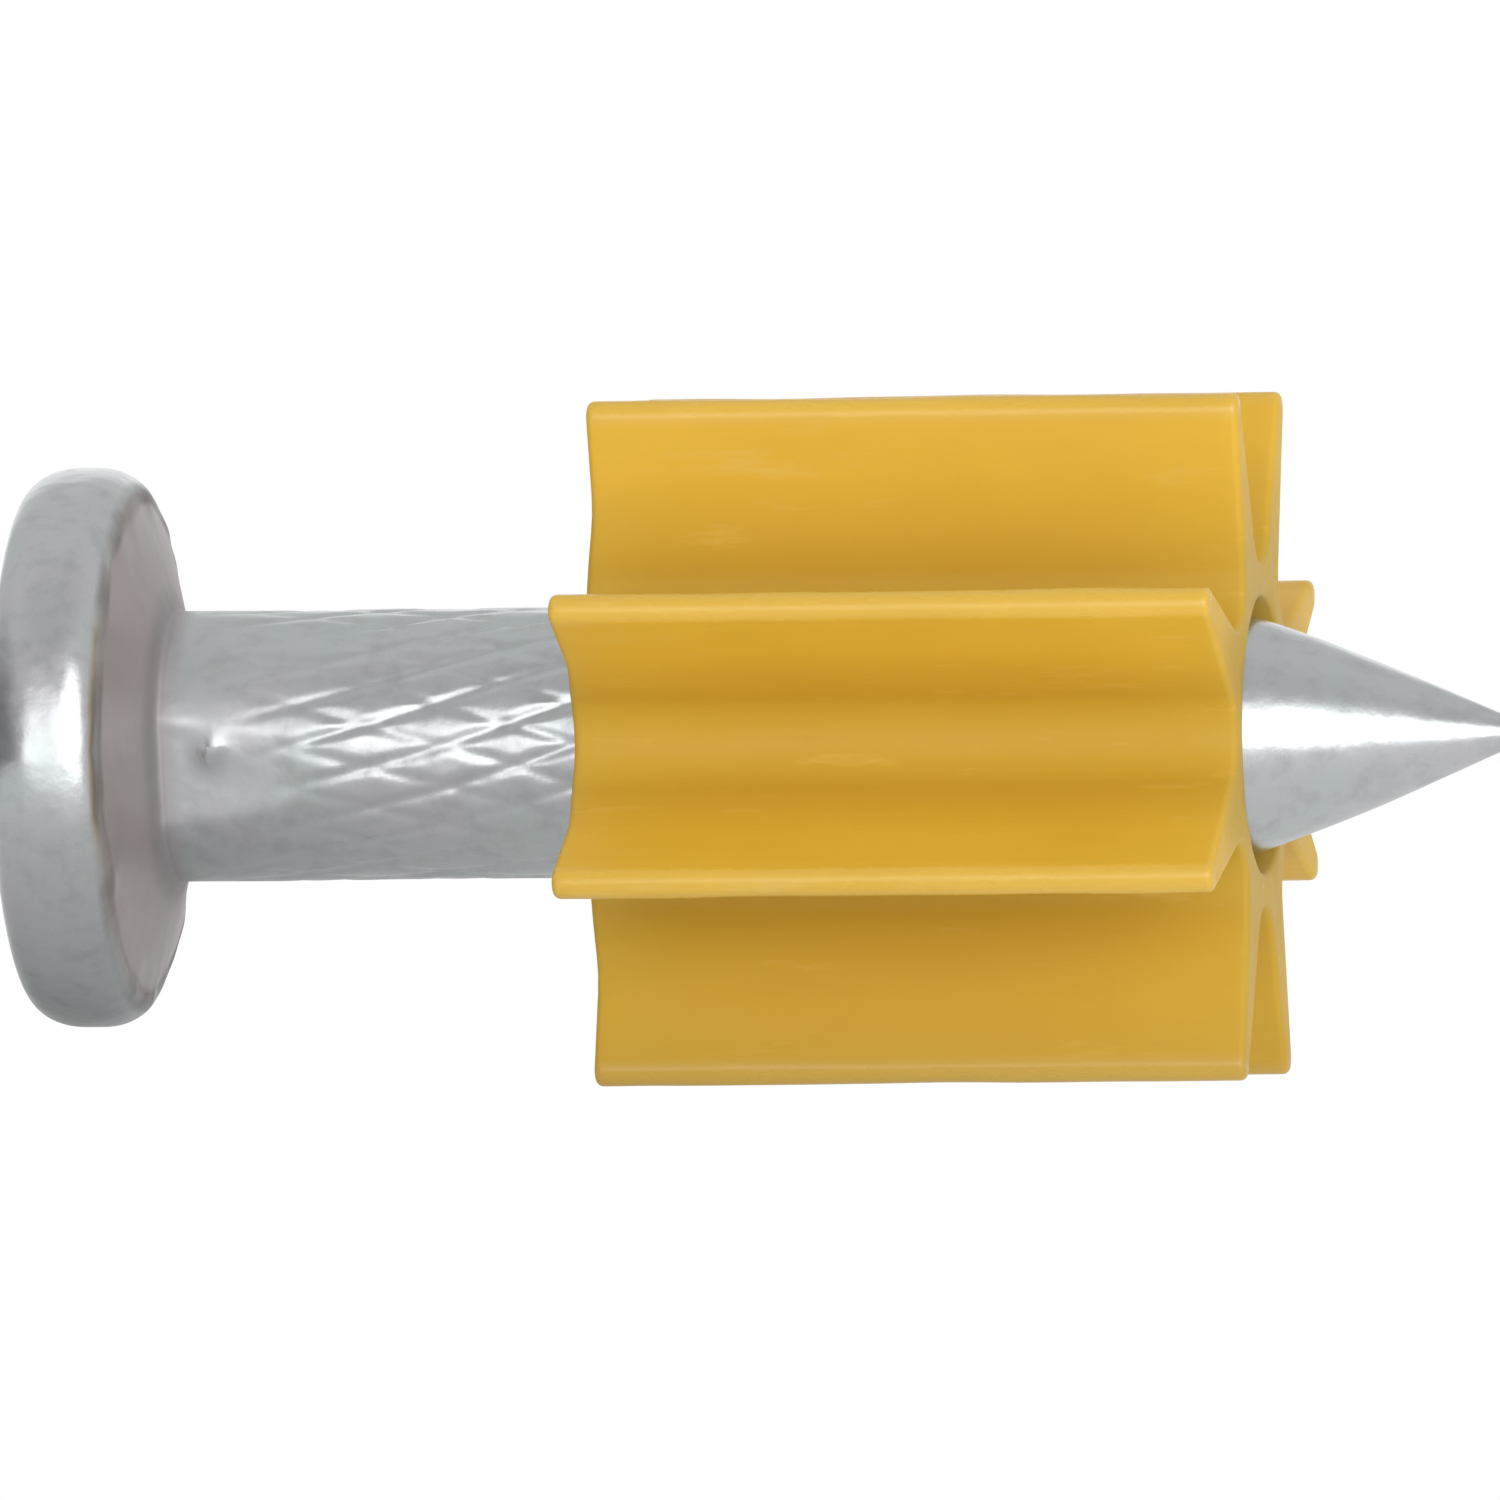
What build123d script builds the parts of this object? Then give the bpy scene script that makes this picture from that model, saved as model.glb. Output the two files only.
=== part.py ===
from build123d import *

# A powder-actuated drive pin: a headed, knurled steel nail with a moulded guide flute on its shank.
#
# All sizes are in millimetres. The origin is the middle of the struck face of the head, +X runs
# along the shank to the point, and +Z is up. Two ridges of the flute point down, one on each side,
# so that the fastener can lie on them.

import os
from math import asin, atan2, cos, hypot, pi, radians, sin, tan

# Head: a disc with rolled edges, joined to the shank by a shallow cone
HEAD_DIAMETER = 7.62
HEAD_THICKNESS = 1.57
TOP_ROUND_ALONG = 0.64
TOP_ROUND_ACROSS = 0.41
UNDER_ROUND_ALONG = 0.68
UNDER_ROUND_ACROSS = 0.45
NECK_CONE_LENGTH = 0.37

# Shank, plain at the height of the crests of its knurl, and point
SHANK_DIAMETER = 3.68
SHANK_LENGTH = 19.05  # from the underside of the head to the tip
POINT_LENGTH = 5.00
POINT_SHOULDER = 1.10  # how far the point stays close to the diameter of the shank
POINT_TIP_PULL = 1.00  # how far the side keeps the slope of the tip
POINT_TIP_ANGLE = 22.5  # degrees between the axis and the side of the tip
TIP_FLAT_DIAMETER = 0.12

# Guide flute: a tube with eight straight ridges
FLUTE_LENGTH = 8.85
FLUTE_START = 8.06  # from the struck face to the rear end of the flute
RIDGE_COUNT = 8
RIDGE_DIAMETER = 10.0
RIDGE_ROUND = 0.22
VALLEY_DIAMETER = 4.70
VALLEY_ROUND = 0.70
BORE_CLEARANCE = 0.03  # on the radius, over the shank
FLUTE_EDGE_ROUND = 0.10
BORE_CHAMFER = 0.05

HEAD_R = HEAD_DIAMETER / 2
SHANK_R = SHANK_DIAMETER / 2
TIP_X = HEAD_THICKNESS + SHANK_LENGTH
POINT_X = TIP_X - POINT_LENGTH
TIP_FLAT_R = TIP_FLAT_DIAMETER / 2
BORE_R = SHANK_R + BORE_CLEARANCE


def polar(radius, angle):
    """A point at a distance and an angle in radians."""
    return Vector(radius * cos(angle), radius * sin(angle))


def head_outline():
    """Half the outline of the head, from the axis to the shank."""
    top_face_r = HEAD_R - TOP_ROUND_ACROSS
    underside_r = HEAD_R - UNDER_ROUND_ACROSS
    under_round_x = HEAD_THICKNESS - UNDER_ROUND_ALONG
    return [
        Line((0, 0), (0, top_face_r)),
        EllipticalCenterArc(
            (TOP_ROUND_ALONG, top_face_r), TOP_ROUND_ALONG, TOP_ROUND_ACROSS, 90, arc_size=90
        ),
        Line((TOP_ROUND_ALONG, HEAD_R), (under_round_x, HEAD_R)),
        EllipticalCenterArc(
            (under_round_x, underside_r), UNDER_ROUND_ALONG, UNDER_ROUND_ACROSS, 0, arc_size=90
        ),
        Line((HEAD_THICKNESS, underside_r), (HEAD_THICKNESS + NECK_CONE_LENGTH, SHANK_R)),
    ]


def point_outline():
    """The curved side of the point, tangent to the shank, and its small flat tip."""
    slope = tan(radians(POINT_TIP_ANGLE))
    tip_pull = (TIP_X - POINT_TIP_PULL, TIP_FLAT_R + POINT_TIP_PULL * slope)
    return [
        Bezier(
            (POINT_X, SHANK_R), (POINT_X + POINT_SHOULDER, SHANK_R), tip_pull, (TIP_X, TIP_FLAT_R)
        ),
        Line((TIP_X, TIP_FLAT_R), (TIP_X, 0)),
    ]


def drive_pin():
    """The whole pin, turned about the X axis."""
    shank = Line((HEAD_THICKNESS + NECK_CONE_LENGTH, SHANK_R), (POINT_X, SHANK_R))
    axis = Line((TIP_X, 0), (0, 0))
    section = make_face(Wire(head_outline() + [shank] + point_outline() + [axis]))
    return revolve(section, Axis.X, 360)


def flank_ends(ridge_angle, side):
    """Where a flank leaves its ridge's round and meets the valley's round, on one side."""
    ridge = polar(RIDGE_DIAMETER / 2 - RIDGE_ROUND, ridge_angle)
    valley = polar(VALLEY_DIAMETER / 2 + VALLEY_ROUND, ridge_angle + side * pi / RIDGE_COUNT)
    across = valley - ridge
    turn = asin((RIDGE_ROUND + VALLEY_ROUND) / hypot(across.X, across.Y))
    normal = atan2(across.Y, across.X) - side * (pi / 2 - turn)
    return ridge + polar(RIDGE_ROUND, normal), valley - polar(VALLEY_ROUND, normal)


def flute_outline():
    """The closed outline of the ridges: a round, a flank, a valley and a flank, eight times."""
    edges = []
    step = 2 * pi / RIDGE_COUNT
    for index in range(RIDGE_COUNT):
        angle = (index + 0.5) * step
        near_top, _ = flank_ends(angle, -1)
        far_top, far_foot = flank_ends(angle, 1)
        next_top, next_foot = flank_ends(angle + step, -1)
        edges.append(ThreePointArc(near_top, polar(RIDGE_DIAMETER / 2, angle), far_top))
        edges.append(Line(far_top, far_foot))
        valley = polar(VALLEY_DIAMETER / 2, angle + step / 2)
        edges.append(ThreePointArc(far_foot, valley, next_foot))
        edges.append(Line(next_foot, next_top))
    return Wire(edges)


def guide_flute():
    """The ridged sleeve, with its end edges eased and its bore chamfered."""
    rear = Plane(origin=(FLUTE_START, 0, 0), x_dir=(0, 1, 0), z_dir=(1, 0, 0))
    body = extrude(rear * make_face(flute_outline()), FLUTE_LENGTH)
    ends = [body.faces().sort_by(Axis.X)[0], body.faces().sort_by(Axis.X)[-1]]
    body = fillet([edge for face in ends for edge in face.outer_wire().edges()], FLUTE_EDGE_ROUND)
    bore = extrude(rear * Circle(BORE_R), FLUTE_LENGTH)
    body = body - bore
    mouths = body.edges().filter_by(GeomType.CIRCLE).filter_by(
        lambda edge: abs(edge.radius - BORE_R) < BORE_CLEARANCE / 2
    )
    return chamfer(mouths, BORE_CHAMFER)


os.makedirs("parts", exist_ok=True)
export_step(drive_pin(), "parts/drive_pin.step")
export_step(guide_flute(), "parts/guide_flute.step")
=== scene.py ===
"""Looks for a drive pin and its guide flute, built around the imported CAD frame.

Lengths in the tables below are millimetres, as a drawing has them; meshes are made in metres.
Angles about the shank start at -Y and grow towards +Z, so angle 0 faces the camera.
A wave is its height, its turns about the shank, its radians per mm along it, and its phase.
"""
import math

import bpy
import numpy as np
from mathutils import Matrix, Vector


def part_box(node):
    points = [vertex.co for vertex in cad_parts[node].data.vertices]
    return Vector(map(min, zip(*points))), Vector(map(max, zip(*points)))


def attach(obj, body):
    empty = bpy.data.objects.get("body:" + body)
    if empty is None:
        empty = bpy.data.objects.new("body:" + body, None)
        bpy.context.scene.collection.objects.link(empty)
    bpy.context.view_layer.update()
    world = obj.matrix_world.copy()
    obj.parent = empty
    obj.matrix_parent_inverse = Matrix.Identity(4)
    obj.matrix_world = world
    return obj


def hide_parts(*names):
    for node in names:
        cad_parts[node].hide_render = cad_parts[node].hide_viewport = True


MM = 0.001
TURN = 2 * math.pi

# Pin
HEAD_THICKNESS = 1.57
TOP_ROUND = (0.64, 0.41)  # along the axis, across it
RIM_THICKNESS = 1.51
UNDER_ROUND = (0.62, 0.45)
UNDER_ROUND_END = 84  # degrees; it ends there, at the lip that the forging leaves
NECK_CONE_LENGTH = 0.37
NECK_FILLET = 0.10  # along the axis, on each side of the cone's foot
SHANK_RADIUS = 1.84
NECK_SMOOTH_RADIUS = 1.3 * SHANK_RADIUS  # the cone is left smooth beyond it
POINT_LENGTH = 5.00
POINT_SHOULDER = 1.10
POINT_TIP_PULL = 1.00
POINT_TIP_SLOPE = math.tan(math.radians(22.5))
TIP_FLAT_RADIUS = 0.06
DENTS = [(0.003, 3, 1.7, 0.1), (0.0025, 5, -2.9, 1.3), (0.0015, 11, 4.1, 0.6)]
DENTS_FADE = (0.2, 1.0)  # from none to full, by the distance from the axis

# The uneven lip that the forging leaves under the head's rim
LIP_STEP = 0.02  # the cone starts this far inside it
LIP_WIDTH = 0.08
LIP_INNER_RADIUS = 3.0
LIP_SPILL = 1.3  # how much farther it wanders along the axis than across it
LIP_WAVES = [
    (0.018, 3, 0, 0.3), (0.018, 7, 0, 1.9), (0.010, 11, 0, 4.2), (0.011, 17, 0, 0.7), (0.006, 28, 0, 2),
]

# Knurl: crossed helical grooves, pressed into the shank
KNURL_STARTS = 20
KNURL_LEAD = 39.0
KNURL_DEPTH = 0.034
KNURL_CROSS_DEPTH = 0.022
GROOVE_SHARPNESS = 9  # a larger one makes narrower grooves and wider lands
KNURL_START = 2.2
KNURL_FULL = 4.1
KNURL_END = 15.6
KNURL_RUN_OUT = 0.8
KNURL_LATE = 1.2  # how much farther along it starts on one side
KNURL_LATE_ANGLE = -0.47
KNURL_LATE_FOCUS = 6  # a larger one keeps that to a narrower side
KNURL_EDGE = [(0.2, 3, 0, 0.5)]
KNURL_STRAY = [(0.045, 2, 1.3, 0.4), (0.035, 5, -0.9, 2.1)]
KNURL_UNEVEN = [(0.16, 3, 1.9, 0.2), (0.12, 7, -2.7, 1.1)]

# Flats that the heading dies leave on the front and back of the shank, and a small burr on one
GRIP_DEPTH = 0.16
GRIP_END = 4.7
GRIP_ANGLE = -0.20
GRIP_EASE = 0.015  # how far its edges are rounded off
GRIP_FADE_PARTS = 3  # they fade away below one part in this many of their depth
BURR_X = 2.78
BURR_ANGLE = -0.02
BURR_SIZE = 0.26
BURR_HEIGHT = 0.078

# Flute
RIDGE_COUNT = 8
RIDGE_RADIUS = 5.0
RIDGE_ROUND = 0.22
VALLEY_RADIUS = 2.35
VALLEY_ROUND = 0.70
BORE_RADIUS = 1.87
BORE_EASE = 0.05
END_ROUND = 0.10
SWELL = [(0.006, 1, 0.9, 0.3), (0.005, 3, 1.6, 1.2), (0.003, 9, 3.1, 0.5)]
SWELL_FADE = 1.0  # the ends are left true
REAR_SLANT = 0.037  # the rear end is cut a little out of square
REAR_CROWN = 0.15  # how far its middle stands out behind the ends of the ridges
REAR_CROWN_RADIUS = 0.75 * RIDGE_RADIUS  # the crown ends there
REAR_CROWN_FOCUS = 8  # a larger one keeps the crown nearer to the rear end

# How finely the meshes are divided
PIN_SEGMENTS = 288
FACE_RINGS = 14
ROUND_RINGS = 14
RIM_SHARES = (0.33, 0.67)
UNDER_RINGS = 16
NECK_CONE_SHARES = (0, 0.03, 0.07, 0.12, 0.2, 0.3, 0.4, 0.5, 0.6)  # closer together at the lip
FILLET_RINGS = 12
SHANK_STEP = 0.085
POINT_RINGS = 48
CREST_STEPS = 12
VALLEY_STEPS = 18
FLANK_STEPS = 8
END_FACE_SHARES = (0.15, 0.35, 0.55, 0.75, 0.9)
END_ROUND_STEPS = 5
RIDGE_RINGS = 70
BORE_RINGS = 10

# Zinc: colours are linear RGB, and a pair is where a change begins and where it is complete
ZINC_GREENISH = (0.600, 0.645, 0.640)
ZINC_BLUISH = (0.640, 0.640, 0.660)
ZINC_BLOTCH = (0.47, 0.48, 0.48)
ZINC_UNDER_HEAD = (0.53, 0.49, 0.50)
# painted shade: a dark line in the crease at the lip under the rim
LIP_PAINTED_SHADE = (0.26, 0.25, 0.25)
# painted shade: the corner at the neck's foot is darkened in the colour
NECK_PAINTED_SHADE = (0.42, 0.40, 0.41)
UNDER_HEAD_START = (1.46, 1.51)
UNDER_HEAD_END = (1.95, 2.3)
LIP_ZONE_START = (1.37, 1.45)
LIP_ZONE_RADII = (3.26, 3.36)
NECK_SHADE_START = (1.82, 1.90)
NECK_SHADE_END = (1.96, 2.10)
GRIPPED_START = (1.6, 1.9)
GRIPPED_END = (2.6, 4.7)
BURR_SHINE = (0.12, 0.30)
SMOOTHER_POINT = (13, 16)

# Plastic, in the same way
YELLOW_DULL = (0.825, 0.502, 0.046)
YELLOW_BRIGHT = (0.865, 0.532, 0.052)
# painted shade: the valleys are darkened in the colour, where the ridges shade them
YELLOW_VALLEY_SHADE = (0.60, 0.385, 0.041)
# painted shade: the lower ridges are darkened in the colour, as if less lit
YELLOW_LOW_SHADE = (0.58, 0.36, 0.037)
YELLOW_SCUFF = (0.88, 0.60, 0.13)
VALLEY_SHADE_RADII = (2.7, 4.0)
LOW_SHADE_HEIGHTS = (-4.6, -1.9)
CREST_RADII = (4.7, 4.85)
ALONG_CLOUDS = (0.35, 1, 1)
ALONG_STREAKS = (0.18, 1, 1)
SKIN_DEPTHS = (0.5, 0.25, 0.05)  # how far red, green and blue light travels under the skin

# Camera and stage
CAMERA_AZIMUTH = 9.8
CAMERA_ELEVATION = 0.75
CAMERA_ROLL = 0.75
CAMERA_DISTANCE = 500.0
VIEW_WIDTH = 20.35
VIEW_CENTRE = (9.84, 0.0, -0.129)
SENSOR_WIDTH = 36.0
FLOOR_HALF = 30.0
FLOOR_DARK, FLOOR_PALE = 1.0, 24.0  # where its painted shadow starts and ends, from the head
FLOOR_STRETCH = (0.85, 1, 0)  # it reaches a little farther along the pin than across it
FLOOR_CURVE = 0.55  # a smaller one pales sooner
# painted shadow: the floor glows this grey in light and reflections, darker near the head
FLOOR_SHADOW_GREY = (0.31, 0.82)
SKY_GREY = (0.56, 0.66)  # radiance straight below and straight above
WHITE = (1, 1, 1, 1)
GLOWS = [  # azimuth, elevation, full within, gone beyond, radiance; a negative one is a dark side
    (-3, 4, 5, 24, 1.2),
    (32, 6, 8, 30, 2.3),
    (190, 5, 10, 35, 0.5),
    (-72, -14, 8, 58, -0.42),
    (8, 50, 10, 45, -0.10),
]


# ---------------------------------------------------------------- small helpers

def smoothstep(low, high, value):
    """0 below low, 1 above high, and smooth between them."""
    share = np.clip((value - low) / (high - low), 0, 1)
    return share * share * (3 - 2 * share)


def wobble(angle, along, waves):
    """A sum of smooth waves over a surface that is wrapped about the X axis."""
    return sum(
        height * np.sin(turns * angle + per_mm * along + phase)
        for height, turns, per_mm, phase in waves
    )


def quarter(steps):
    """Angles from 0 to 90 degrees."""
    return np.linspace(0, math.pi / 2, steps + 1)


def polar(radius, angle):
    """A point in a plane, from its distance and its angle."""
    return radius * np.array([math.cos(angle), math.sin(angle)])


def direction(azimuth, elevation):
    """A unit vector; azimuth 0 is towards -Y and grows towards +X, both in degrees."""
    azimuth, elevation = math.radians(azimuth), math.radians(elevation)
    level = math.cos(elevation)
    return Vector((math.sin(azimuth) * level, -math.cos(azimuth) * level, math.sin(elevation)))


def mesh_object(name, points, faces):
    """A smooth-shaded mesh from points in millimetres."""
    mesh = bpy.data.meshes.new(name)
    mesh.from_pydata((np.asarray(points) * MM).tolist(), [], faces)
    mesh.shade_smooth()
    made = bpy.data.objects.new(name, mesh)
    bpy.context.scene.collection.objects.link(made)
    return made


def ring_quads(first, second, count):
    """Quads between two rings of points, given where each ring starts."""
    return [
        (first + i, second + i, second + (i + 1) % count, first + (i + 1) % count)
        for i in range(count)
    ]


# ---------------------------------------------------------------- the pin

def head_profile(head_radius):
    """Rings of the head, as (x, radius): struck face, rolled edges and the cone under it."""
    face_radius = head_radius - TOP_ROUND[1]
    under_radius = head_radius - UNDER_ROUND[1]
    rings = [(0.0, face_radius * share) for share in np.linspace(0.06, 0.98, FACE_RINGS)]
    for angle in quarter(ROUND_RINGS):
        x = TOP_ROUND[0] * (1 - math.cos(angle))
        rings.append((x, face_radius + TOP_ROUND[1] * math.sin(angle)))
    under_start = RIM_THICKNESS - UNDER_ROUND[0]
    for share in RIM_SHARES:
        rings.append((TOP_ROUND[0] + (under_start - TOP_ROUND[0]) * share, head_radius))
    for angle in np.radians(np.linspace(0, UNDER_ROUND_END, UNDER_RINGS)):
        x = under_start + UNDER_ROUND[0] * math.sin(angle)
        rings.append((x, under_radius + UNDER_ROUND[1] * math.cos(angle)))
    return rings + neck_profile(*rings[-1])


def neck_profile(lip_x, lip_radius):
    """Rings of the cone under the head and of the fillet at its foot."""
    foot = HEAD_THICKNESS + NECK_CONE_LENGTH
    slope = (lip_radius - LIP_STEP - SHANK_RADIUS) / (foot - lip_x)
    rings = []
    for share in NECK_CONE_SHARES:
        x = lip_x + (foot - lip_x) * share
        rings.append((x, SHANK_RADIUS + slope * (foot - x)))
    for share in np.linspace(0, 1, FILLET_RINGS + 1)[:-1]:
        x = foot + NECK_FILLET * (2 * share - 1)
        rings.append((x, SHANK_RADIUS + slope * NECK_FILLET * (1 - share) ** 2))
    return rings


def point_profile(tip_x):
    """Rings of the point: a curve tangent to the shank, then the small flat tip."""
    start = tip_x - POINT_LENGTH
    controls = np.array([
        (start, SHANK_RADIUS),
        (start + POINT_SHOULDER, SHANK_RADIUS),
        (tip_x - POINT_TIP_PULL, TIP_FLAT_RADIUS + POINT_TIP_PULL * POINT_TIP_SLOPE),
        (tip_x, TIP_FLAT_RADIUS),
    ])
    rings = []
    for t in np.linspace(0, 1, POINT_RINGS + 1)[1:]:
        weights = ((1 - t) ** 3, 3 * t * (1 - t) ** 2, 3 * t * t * (1 - t), t ** 3)
        rings.append(tuple(np.dot(weights, controls)))
    rings.append((tip_x, TIP_FLAT_RADIUS * 0.5))
    return rings


def groove(phase):
    """1 along the middle of each groove, 0 on the lands between them."""
    return np.abs(np.cos(math.pi * phase)) ** GROOVE_SHARPNESS


def knurl_depth(angle, x):
    """How far the knurl is pressed in, from its two crossed sets of grooves."""
    rise = KNURL_STARTS * angle / TURN
    run = KNURL_STARTS * x / KNURL_LEAD
    stray = wobble(angle, x, KNURL_STRAY)
    climbing = KNURL_DEPTH * groove(rise - run + stray)
    falling = KNURL_CROSS_DEPTH * groove(rise + run - stray)
    late_side = np.maximum(0, np.cos(angle - KNURL_LATE_ANGLE)) ** KNURL_LATE_FOCUS
    late = KNURL_LATE * late_side + wobble(angle, x, KNURL_EDGE)
    fade_in = smoothstep(KNURL_START + late, KNURL_FULL + late, x)
    fade_out = 1 - smoothstep(KNURL_END - KNURL_RUN_OUT, KNURL_END, x)
    uneven = 1 + wobble(angle, x, KNURL_UNEVEN)
    return np.hypot(climbing, falling) * fade_in * fade_out * uneven


def grip_depth(angle, x):
    """Two opposite flats that run out towards the knurl."""
    off_side = np.arcsin(np.abs(np.sin(angle - GRIP_ANGLE)))
    start = HEAD_THICKNESS + NECK_CONE_LENGTH
    deepest = GRIP_DEPTH * min(1, max(0, (GRIP_END - x) / (GRIP_END - start)))
    cut = SHANK_RADIUS - (SHANK_RADIUS - deepest) / np.cos(off_side)
    eased = GRIP_EASE * np.logaddexp(0, cut / GRIP_EASE)
    return eased * min(1, deepest / GRIP_DEPTH * GRIP_FADE_PARTS)


def burr_height(angle, x):
    """The small raised burr on the front flat."""
    around = (np.mod(angle + math.pi, TURN) - math.pi - BURR_ANGLE) * SHANK_RADIUS
    return BURR_HEIGHT * np.exp(-((x - BURR_X) ** 2 + around ** 2) / BURR_SIZE ** 2)


def pin_ring(x, radius, tip_x):
    """The points of one ring, with its dents and what the dies and the knurling tool leave on it."""
    angle = np.arange(PIN_SEGMENTS) * TURN / PIN_SEGMENTS
    along = np.full(PIN_SEGMENTS, x)
    radii = radius + wobble(angle, x, DENTS) * smoothstep(*DENTS_FADE, radius)
    if radius < NECK_SMOOTH_RADIUS and HEAD_THICKNESS < x < tip_x - POINT_LENGTH:
        radii = radii - knurl_depth(angle, x) - grip_depth(angle, x) + burr_height(angle, x)
    if radius > LIP_INNER_RADIUS:
        lip = math.exp(-(((x - RIM_THICKNESS) / LIP_WIDTH) ** 2)) * wobble(angle, 0, LIP_WAVES)
        along = along - LIP_SPILL * lip
        radii = radii + lip
    return np.stack([along, -radii * np.cos(angle), radii * np.sin(angle)], 1)


def build_pin(tip_x, head_radius):
    """The headed, knurled and pointed pin as one closed mesh."""
    shank_start = HEAD_THICKNESS + NECK_CONE_LENGTH + NECK_FILLET
    shank = np.arange(shank_start, tip_x - POINT_LENGTH, SHANK_STEP)
    rings = head_profile(head_radius) + [(x, SHANK_RADIUS) for x in shank] + point_profile(tip_x)
    points = [pin_ring(x, radius, tip_x) for x, radius in rings]
    points = np.concatenate([*points, [(0, 0, 0), (tip_x, 0, 0)]])
    face_centre, tip_centre = len(points) - 2, len(points) - 1
    last = (len(rings) - 1) * PIN_SEGMENTS
    faces = []
    for first in range(0, last, PIN_SEGMENTS):
        faces += ring_quads(first, first + PIN_SEGMENTS, PIN_SEGMENTS)
    for i in range(PIN_SEGMENTS):
        after = (i + 1) % PIN_SEGMENTS
        faces.append((face_centre, i, after))
        faces.append((tip_centre, last + after, last + i))
    return mesh_object("knurled_pin", points, faces)


# ---------------------------------------------------------------- the flute

def arc(centre, radius, start, sweep, steps, outward):
    """Points and surface normals along an arc; outward is 1 on a ridge and -1 in a valley."""
    angles = start + sweep * np.linspace(0, 1, steps + 1)
    normals = np.stack([np.cos(angles), np.sin(angles)], 1)
    return centre + radius * normals, outward * normals


def flank(start, end, normal):
    """Points and surface normals along a straight flank, without its ends."""
    shares = np.linspace(0, 1, FLANK_STEPS + 1)[1:-1, None]
    return start + (end - start) * shares, np.repeat([normal], len(shares), 0)


def flute_outline():
    """The closed outline of the ridges in the YZ plane, with its normals."""
    step = TURN / RIDGE_COUNT
    ridge = polar(RIDGE_RADIUS - RIDGE_ROUND, 0)
    valley = polar(VALLEY_RADIUS + VALLEY_ROUND, step / 2)
    across = valley - ridge
    turn = math.asin((RIDGE_ROUND + VALLEY_ROUND) / np.hypot(*across))
    normal = math.atan2(across[1], across[0]) - (math.pi / 2 - turn)
    crest, crest_normals = arc(ridge, RIDGE_ROUND, -normal, 2 * normal, CREST_STEPS, 1)
    foot, foot_normals = arc(
        valley, VALLEY_ROUND, math.pi + normal, step - 2 * normal, VALLEY_STEPS, -1
    )
    next_crest = polar(RIDGE_RADIUS - RIDGE_ROUND, step) + polar(RIDGE_ROUND, step - normal)
    stretches = [
        (crest, crest_normals),
        flank(crest[-1], foot[0], crest_normals[-1]),
        (foot, foot_normals),
        flank(foot[-1], next_crest, foot_normals[-1]),
    ]
    one, one_normals = (np.concatenate(rows) for rows in zip(*stretches))
    points, normals = [], []
    for index in range(RIDGE_COUNT):
        across_axis = polar(1, (index + 0.5) * step)
        turned = np.array([across_axis, (-across_axis[1], across_axis[0])])
        points.append(one @ turned)
        normals.append(one_normals @ turned)
    return np.concatenate(points), np.concatenate(normals)


def ridge_rings(outline, normals, rear, front):
    """Rings along the ridges, which swell a little here and there as moulded parts do."""
    angle = np.arctan2(outline[:, 1], -outline[:, 0])
    rings = []
    for x in np.linspace(rear + END_ROUND, front - END_ROUND, RIDGE_RINGS + 2)[1:-1]:
        off_rear = smoothstep(rear, rear + SWELL_FADE, x)
        off_front = 1 - smoothstep(front - SWELL_FADE, front, x)
        swell = wobble(angle, x, SWELL) * (off_rear * off_front)
        rings.append((x, outline + swell[:, None] * normals))
    return rings


def rear_shift(points, rear, front):
    """How far the slant and the crown of the rear end move points along the axis."""
    from_front = (front - points[:, 0]) / (front - rear)
    hub = 1 - smoothstep(VALLEY_RADIUS, REAR_CROWN_RADIUS, np.hypot(points[:, 1], points[:, 2]))
    slant = REAR_SLANT * points[:, 1] * from_front
    return slant - REAR_CROWN * hub * from_front ** REAR_CROWN_FOCUS


def build_flute(rear, front):
    """The ridged sleeve: end faces, eased edges, ridges and bore, as a closed ring of rings."""
    outline, normals = flute_outline()
    count = len(outline)
    directions = outline / np.linalg.norm(outline, axis=1)[:, None]
    bore = BORE_RADIUS * directions
    mouth = (BORE_RADIUS + BORE_EASE) * directions
    inset = outline - END_ROUND * normals
    end_face = [mouth + (inset - mouth) * share for share in END_FACE_SHARES]
    edge = [
        (END_ROUND * (1 - math.cos(turn)), outline - END_ROUND * (1 - math.sin(turn)) * normals)
        for turn in quarter(END_ROUND_STEPS)
    ]
    rings = [(rear + BORE_EASE, bore), (rear, mouth)]
    rings += [(rear, ring) for ring in end_face]
    rings += [(rear + inward, ring) for inward, ring in edge]
    rings += ridge_rings(outline, normals, rear, front)
    rings += [(front - inward, ring) for inward, ring in edge[::-1]]
    rings += [(front, ring) for ring in end_face[::-1]]
    rings += [(front, mouth), (front - BORE_EASE, bore)]
    stations = np.linspace(front - BORE_EASE, rear + BORE_EASE, BORE_RINGS + 2)[1:-1]
    rings += [(x, bore) for x in stations]
    points = np.concatenate([np.column_stack([np.full(count, x), ring]) for x, ring in rings])
    points[:, 0] += rear_shift(points, rear, front)
    faces = []
    for index in range(len(rings)):
        following = (index + 1) % len(rings)
        faces += [quad[::-1] for quad in ring_quads(index * count, following * count, count)]
    return mesh_object("fluted_sleeve", points, faces)


# ---------------------------------------------------------------- shader nodes

def add(tree, kind, inputs=None, **settings):
    """A shader node with its settings, and its inputs set or linked."""
    made = tree.nodes.new(kind)
    for name, value in settings.items():
        setattr(made, name, value)
    for key, value in (inputs or {}).items():
        if isinstance(value, bpy.types.NodeSocket):
            tree.links.new(value, made.inputs[key])
        else:
            made.inputs[key].default_value = value
    return made


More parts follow.
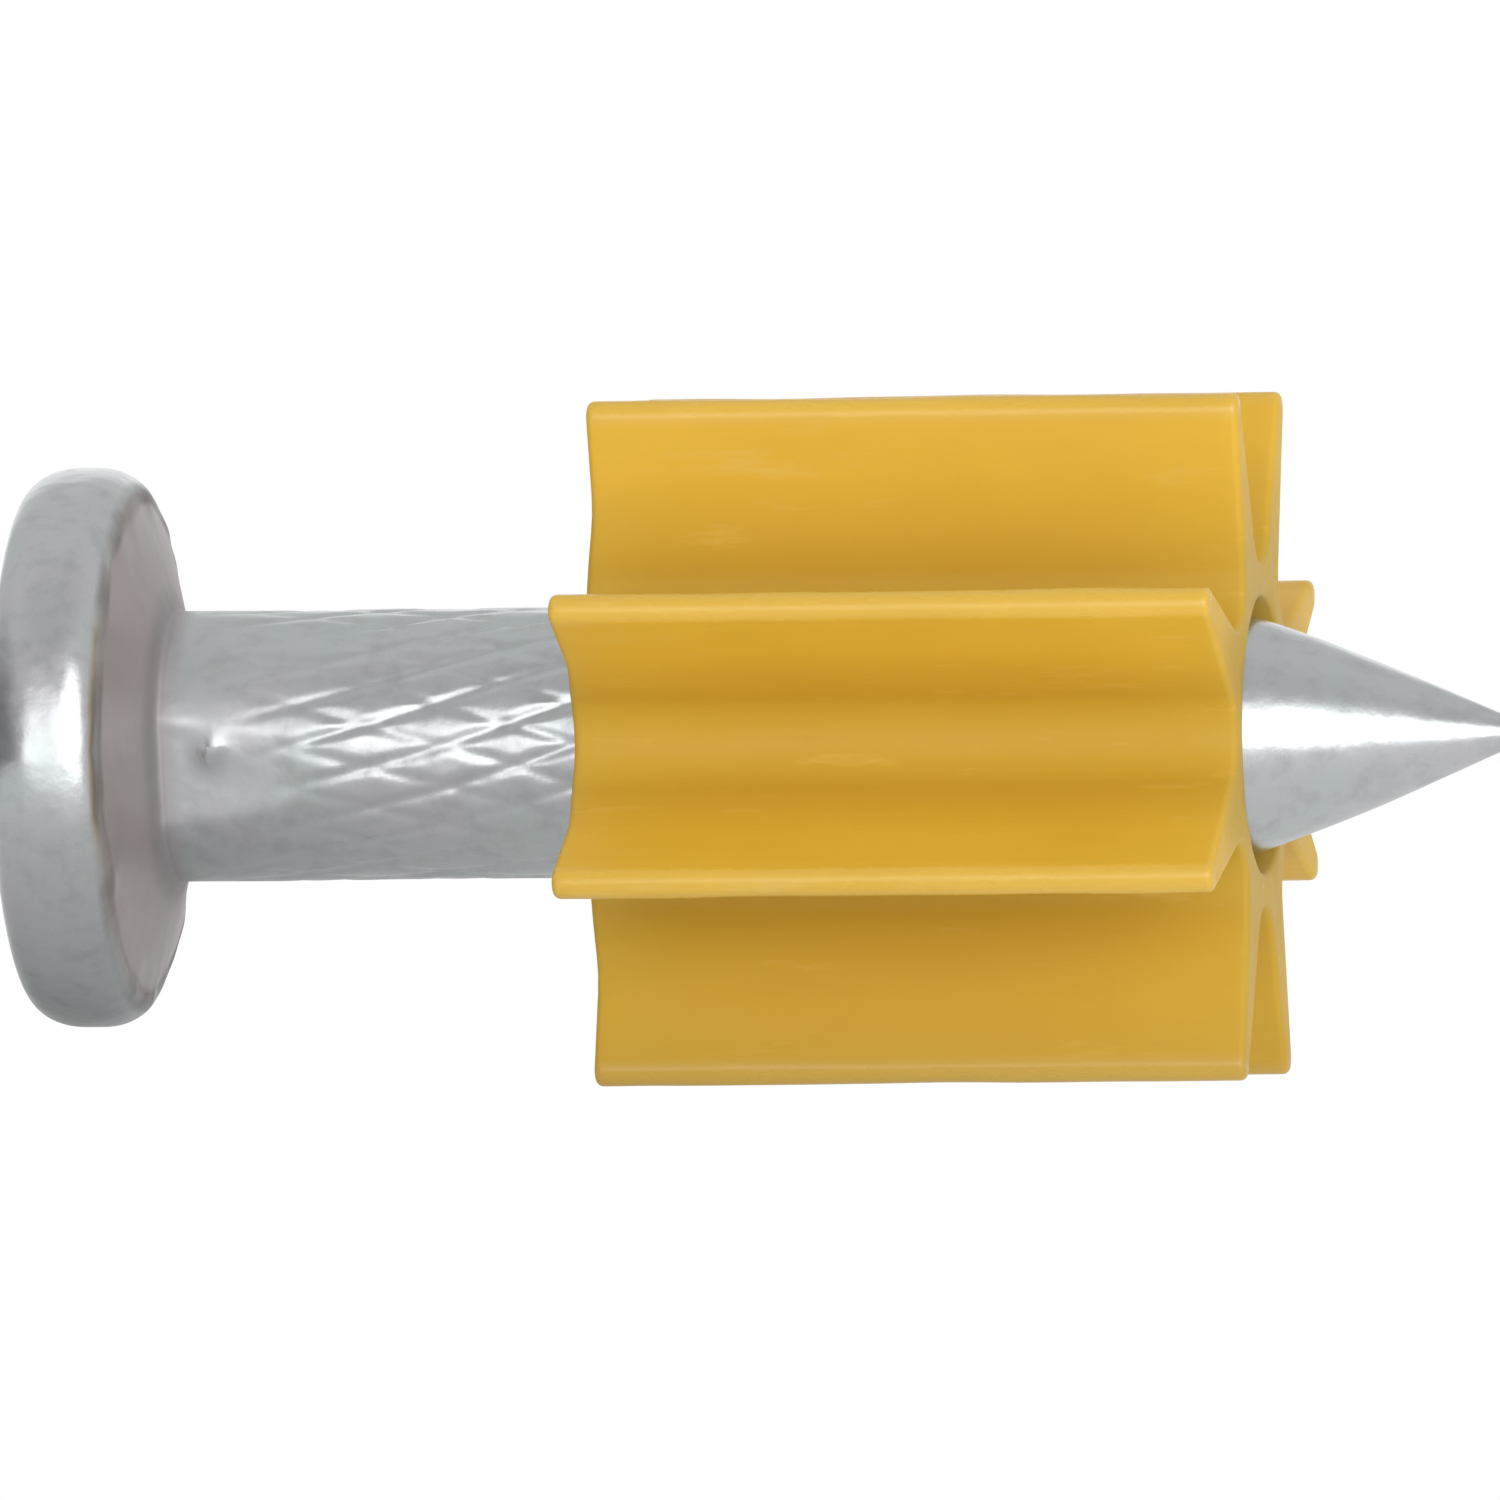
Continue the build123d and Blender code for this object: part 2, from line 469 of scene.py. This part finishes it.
def new_material(name):
    """An empty material with its output node, and object coordinates in millimetres."""
    material = bpy.data.materials.new(name)
    material.use_nodes = True
    tree = material.node_tree
    tree.nodes.clear()
    output = add(tree, "ShaderNodeOutputMaterial")
    coordinates = add(tree, "ShaderNodeTexCoord")
    millimetres = add(
        tree, "ShaderNodeVectorMath",
        {0: coordinates.outputs["Object"], "Scale": 1 / MM}, operation="SCALE",
    )
    return material, tree, output, millimetres.outputs["Vector"]


def part_of(tree, vector, axis):
    """One coordinate of a vector."""
    return add(tree, "ShaderNodeSeparateXYZ", {0: vector}).outputs[axis]


def stretched_length(tree, vector, stretch):
    """The length of a vector once it is stretched; a stretch of 0 leaves that axis out."""
    stretched = add(tree, "ShaderNodeVectorMath", {0: vector, 1: stretch}, operation="MULTIPLY")
    length = add(tree, "ShaderNodeVectorMath", {0: stretched.outputs[0]}, operation="LENGTH")
    return length.outputs["Value"]


def off_axis(tree, place):
    """The distance from the shank's axis."""
    return stretched_length(tree, place, (0, 1, 1))


def noise(tree, vector, scale, detail, roughness, stretch=(1, 1, 1)):
    """Noise in millimetres, optionally stretched; a smaller stretch makes longer marks."""
    scaled = add(tree, "ShaderNodeVectorMath", {0: vector, 1: stretch}, operation="MULTIPLY")
    made = add(
        tree, "ShaderNodeTexNoise",
        {"Vector": scaled.outputs[0], "Scale": scale, "Detail": detail, "Roughness": roughness},
    )
    return made.outputs["Fac"]


def remap(tree, value, low, high, to_low, to_high):
    """Value from one range to another, clamped."""
    made = add(
        tree, "ShaderNodeMapRange",
        {"Value": value, "From Min": low, "From Max": high, "To Min": to_low, "To Max": to_high},
    )
    return made.outputs["Result"]


def total(tree, first, *others):
    """The sum of some values."""
    for other in others:
        first = add(tree, "ShaderNodeMath", {0: first, 1: other}, operation="ADD").outputs[0]
    return first


def product(tree, first, second):
    """The product of two values."""
    return add(tree, "ShaderNodeMath", {0: first, 1: second}, operation="MULTIPLY").outputs[0]


def product_plus(tree, first, second, addend):
    """The product of two values, plus a third."""
    return add(
        tree, "ShaderNodeMath", {0: first, 1: second, 2: addend}, operation="MULTIPLY_ADD"
    ).outputs[0]


def rgba(colour):
    """A colour socket as it is, and an RGB triple with its alpha."""
    return colour if isinstance(colour, bpy.types.NodeSocket) else (*colour, 1)


def blend_colour(tree, factor, first, second):
    """A mix of two colours or colour sockets."""
    sides = {0: factor, 6: rgba(first), 7: rgba(second)}
    return add(tree, "ShaderNodeMix", sides, data_type="RGBA").outputs[2]


def two_bumps(tree, coarse, coarse_strength, coarse_depth, fine, fine_strength, fine_depth):
    """The normal of a surface with fine relief on coarse relief; the depths are millimetres."""
    under = add(
        tree, "ShaderNodeBump",
        {"Strength": coarse_strength, "Distance": coarse_depth * MM, "Height": coarse},
    )
    over = add(
        tree, "ShaderNodeBump",
        {
            "Strength": fine_strength, "Distance": fine_depth * MM, "Height": fine,
            "Normal": under.outputs[0],
        },
    )
    return over.outputs[0]


# ---------------------------------------------------------------- materials

def zinc_colour(tree, place, along, under_head, on_lip):
    """Clouded and blotched grey, warmer under the head, with painted shade in the crease at the lip and
    in the corner at the neck.
    """
    clouds = noise(tree, place, 0.8, 3, 0.5)
    blotches = noise(tree, place, 2.6, 3, 0.6)
    # painted shade along the crease at the lip, broken up by the clouds
    lip_shade = product(tree, on_lip, remap(tree, clouds, 0.44, 0.58, 0.25, 0.70))
    # painted shade in the corner at the neck's foot
    neck_shade = product(
        tree, remap(tree, along, *NECK_SHADE_START, 0, 0.8), remap(tree, along, *NECK_SHADE_END, 1, 0)
    )
    colour = blend_colour(tree, remap(tree, clouds, 0.38, 0.62, 0, 1), ZINC_GREENISH, ZINC_BLUISH)
    colour = blend_colour(tree, remap(tree, blotches, 0.48, 0.70, 0, 0.45), colour, ZINC_BLOTCH)
    colour = blend_colour(tree, under_head, colour, ZINC_UNDER_HEAD)
    colour = blend_colour(tree, lip_shade, colour, LIP_PAINTED_SHADE)
    return blend_colour(tree, neck_shade, colour, NECK_PAINTED_SHADE)


def zinc_roughness(tree, place, along, under_head, on_lip):
    """Mottled, rougher under the head and on the flats, and shiny on the burr."""
    mottle = noise(tree, place, 2.2, 3, 0.55)
    gripped = product(
        tree, remap(tree, along, *GRIPPED_END, 0.17, 0), remap(tree, along, *GRIPPED_START, 0, 1)
    )
    across, up = -SHANK_RADIUS * math.cos(BURR_ANGLE), SHANK_RADIUS * math.sin(BURR_ANGLE)
    off_burr = add(
        tree, "ShaderNodeVectorMath", {0: place, 1: (BURR_X, across, up)}, operation="DISTANCE"
    )
    return total(
        tree, remap(tree, mottle, 0.3, 0.7, 0.22, 0.30), gripped,
        remap(tree, off_burr.outputs["Value"], *BURR_SHINE, -0.3, 0),
        remap(tree, under_head, 0, 1, 0, 0.24), remap(tree, on_lip, 0, 1, 0, 0.15),
    )


def zinc_plated_steel():
    """Dull bright zinc: softly clouded grey, rougher and darker under the head."""
    material, tree, output, place = new_material("zinc_plated_steel")
    along = part_of(tree, place, "X")
    under_head = product(
        tree, remap(tree, along, *UNDER_HEAD_START, 0, 1), remap(tree, along, *UNDER_HEAD_END, 1, 0)
    )
    on_lip = product(
        tree, remap(tree, along, *LIP_ZONE_START, 0, 1),
        remap(tree, off_axis(tree, place), *LIP_ZONE_RADII, 0, 1),
    )
    dents = noise(tree, place, 1.6, 1, 0.5)
    unevenness = remap(tree, along, *SMOOTHER_POINT, 1.0, 0.3)
    grain = noise(tree, place, 5, 2, 0.5)
    shader = add(
        tree, "ShaderNodeBsdfPrincipled",
        {
            "Base Color": zinc_colour(tree, place, along, under_head, on_lip), "Metallic": 1.0,
            "Roughness": zinc_roughness(tree, place, along, under_head, on_lip),
            "Normal": two_bumps(tree, dents, unevenness, 0.03, grain, 0.5, 0.010),
        },
    )
    tree.links.new(shader.outputs[0], output.inputs[0])
    return material


def yellow_colour(tree, place, radius, streaks):
    """Clouded yellow, with painted shade in the valleys and on the lower ridges, and pale scuffs along
    the streaks.
    """
    clouds = noise(tree, place, 0.8, 3, 0.5, ALONG_CLOUDS)
    # painted shade in the valleys
    valley_shade = remap(tree, radius, *VALLEY_SHADE_RADII, 0.65, 0)
    # painted shade on the lower ridges
    low_shade = remap(tree, part_of(tree, place, "Z"), *LOW_SHADE_HEIGHTS, 0.6, 0)
    colour = blend_colour(tree, remap(tree, clouds, 0.35, 0.65, 0, 1), YELLOW_DULL, YELLOW_BRIGHT)
    colour = blend_colour(tree, valley_shade, colour, YELLOW_VALLEY_SHADE)
    colour = blend_colour(tree, low_shade, colour, YELLOW_LOW_SHADE)
    return blend_colour(tree, remap(tree, streaks, 0.60, 0.74, 0, 0.5), colour, YELLOW_SCUFF)


def yellow_plastic():
    """Moulded yellow plastic: a satin skin, flow streaks along the ridges and shinier crests."""
    material, tree, output, place = new_material("yellow_plastic")
    radius = off_axis(tree, place)
    streaks = noise(tree, place, 2.4, 4, 0.65, ALONG_STREAKS)
    skin = noise(tree, place, 11, 4, 0.6)
    on_crests = remap(tree, radius, *CREST_RADII, 0, 1)
    shader = add(
        tree, "ShaderNodeBsdfPrincipled",
        {
            "Base Color": yellow_colour(tree, place, radius, streaks),
            "Roughness": product_plus(
                tree, on_crests, -0.20, remap(tree, streaks, 0.3, 0.7, 0.42, 0.54)
            ),
            "Specular IOR Level": product_plus(tree, on_crests, 0.5, 0.30),
            "Subsurface Weight": 0.12, "Subsurface Radius": SKIN_DEPTHS, "Subsurface Scale": 0.5 * MM,
            "Normal": two_bumps(tree, streaks, 0.3, 0.03, skin, 0.2, 0.004),
        },
    )
    tree.links.new(shader.outputs[0], output.inputs[0])
    return material


# ---------------------------------------------------------------- stage, light and camera

def seen_by_camera(tree, shown, otherwise):
    """One shader for what the camera sees directly, and another for light and reflections."""
    path = add(tree, "ShaderNodeLightPath")
    mix = add(
        tree, "ShaderNodeMixShader", {0: path.outputs["Is Camera Ray"], 1: otherwise, 2: shown}
    )
    return mix.outputs[0]


def floor_white():
    """White to the camera; in light and reflections a glowing grey with a painted shadow that pales
    away from the head.
    """
    material, tree, output, place = new_material("floor_white")
    from_head = stretched_length(tree, place, FLOOR_STRETCH)
    share = remap(tree, from_head, FLOOR_DARK, FLOOR_PALE, 0, 1)
    eased = add(tree, "ShaderNodeMath", {0: share, 1: FLOOR_CURVE}, operation="POWER").outputs[0]
    white = add(tree, "ShaderNodeEmission", {"Color": WHITE, "Strength": 1.0})
    # painted shadow: the glowing grey is darkest near the head
    grey = add(tree, "ShaderNodeEmission", {"Strength": remap(tree, eased, 0, 1, *FLOOR_SHADOW_GREY)})
    tree.links.new(seen_by_camera(tree, white.outputs[0], grey.outputs[0]), output.inputs[0])
    return material


def build_floor(height):
    """A plain pale floor under the flute's lowest ridges."""
    corners = [(-1, -1), (1, -1), (1, 1), (-1, 1)]
    points = [(x * FLOOR_HALF, y * FLOOR_HALF, height) for x, y in corners]
    floor = mesh_object("floor", points, [(0, 1, 2, 3)])
    floor.data.materials.append(floor_white())


def glow(tree, view, azimuth, elevation, inner, outer, radiance):
    """A soft round light in the sky: full within the inner angle and gone at the outer one."""
    towards = add(
        tree, "ShaderNodeVectorMath", {0: view, 1: tuple(direction(azimuth, elevation))},
        operation="DOT_PRODUCT",
    )
    return add(
        tree, "ShaderNodeMapRange",
        {
            "Value": towards.outputs["Value"], "To Min": 0.0, "To Max": radiance,
            "From Min": math.cos(math.radians(outer)), "From Max": math.cos(math.radians(inner)),
        },
        interpolation_type="SMOOTHSTEP",
    ).outputs["Result"]


def build_world():
    """White behind the object; around it a grey studio, darker below, with soft round lights."""
    world = bpy.data.worlds.new("studio")
    bpy.context.scene.world = world
    world.use_nodes = True
    tree = world.node_tree
    tree.nodes.clear()
    output = add(tree, "ShaderNodeOutputWorld")
    view = add(tree, "ShaderNodeTexCoord").outputs["Generated"]
    sky = remap(tree, part_of(tree, view, "Z"), -1.0, 1.0, *SKY_GREY)
    radiance = total(tree, sky, *(glow(tree, view, *light) for light in GLOWS))
    room = add(tree, "ShaderNodeBackground", {"Color": WHITE, "Strength": radiance})
    backdrop = add(tree, "ShaderNodeBackground", {"Color": WHITE, "Strength": 1.0})
    tree.links.new(seen_by_camera(tree, backdrop.outputs[0], room.outputs[0]), output.inputs[0])


def aimed(place, target, roll):
    """A matrix at place that looks at target, with +Z up and then rolled by some degrees."""
    rotation = (target - place).to_track_quat("-Z", "Y").to_matrix().to_4x4()
    return Matrix.Translation(place) @ rotation @ Matrix.Rotation(math.radians(roll), 4, "Z")


def build_camera():
    """A long lens, a little to the point's side and above, and rolled a little."""
    data = bpy.data.cameras.new("camera")
    data.sensor_width = SENSOR_WIDTH
    data.lens = SENSOR_WIDTH * CAMERA_DISTANCE / VIEW_WIDTH
    data.clip_start, data.clip_end = 0.01, 20
    camera = bpy.data.objects.new("camera", data)
    centre = Vector(VIEW_CENTRE) * MM
    place = centre + direction(CAMERA_AZIMUTH, CAMERA_ELEVATION) * (CAMERA_DISTANCE * MM)
    camera.matrix_world = aimed(place, centre, -CAMERA_ROLL)
    bpy.context.scene.collection.objects.link(camera)
    bpy.context.scene.camera = camera


def finish_piece(piece, body, node, material):
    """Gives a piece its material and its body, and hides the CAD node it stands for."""
    piece.data.materials.append(material)
    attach(piece, body)
    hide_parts(node)


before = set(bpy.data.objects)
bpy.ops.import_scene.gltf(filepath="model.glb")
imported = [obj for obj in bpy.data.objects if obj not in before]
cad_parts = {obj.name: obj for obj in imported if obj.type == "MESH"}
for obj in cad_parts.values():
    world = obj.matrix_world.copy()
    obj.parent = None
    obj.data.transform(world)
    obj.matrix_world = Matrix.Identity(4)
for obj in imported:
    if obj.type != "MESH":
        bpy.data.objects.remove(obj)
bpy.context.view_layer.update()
pin_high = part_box("drive_pin")[1] / MM
flute_low, flute_high = (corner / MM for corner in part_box("guide_flute"))

finish_piece(
    build_pin(pin_high.x, pin_high.z), "pin", "drive_pin", zinc_plated_steel()
)
finish_piece(
    build_flute(flute_low.x, flute_high.x), "flute", "guide_flute",
    yellow_plastic(),
)

build_floor(flute_low.z)
build_world()
build_camera()
bpy.context.scene.view_settings.view_transform = "Standard"
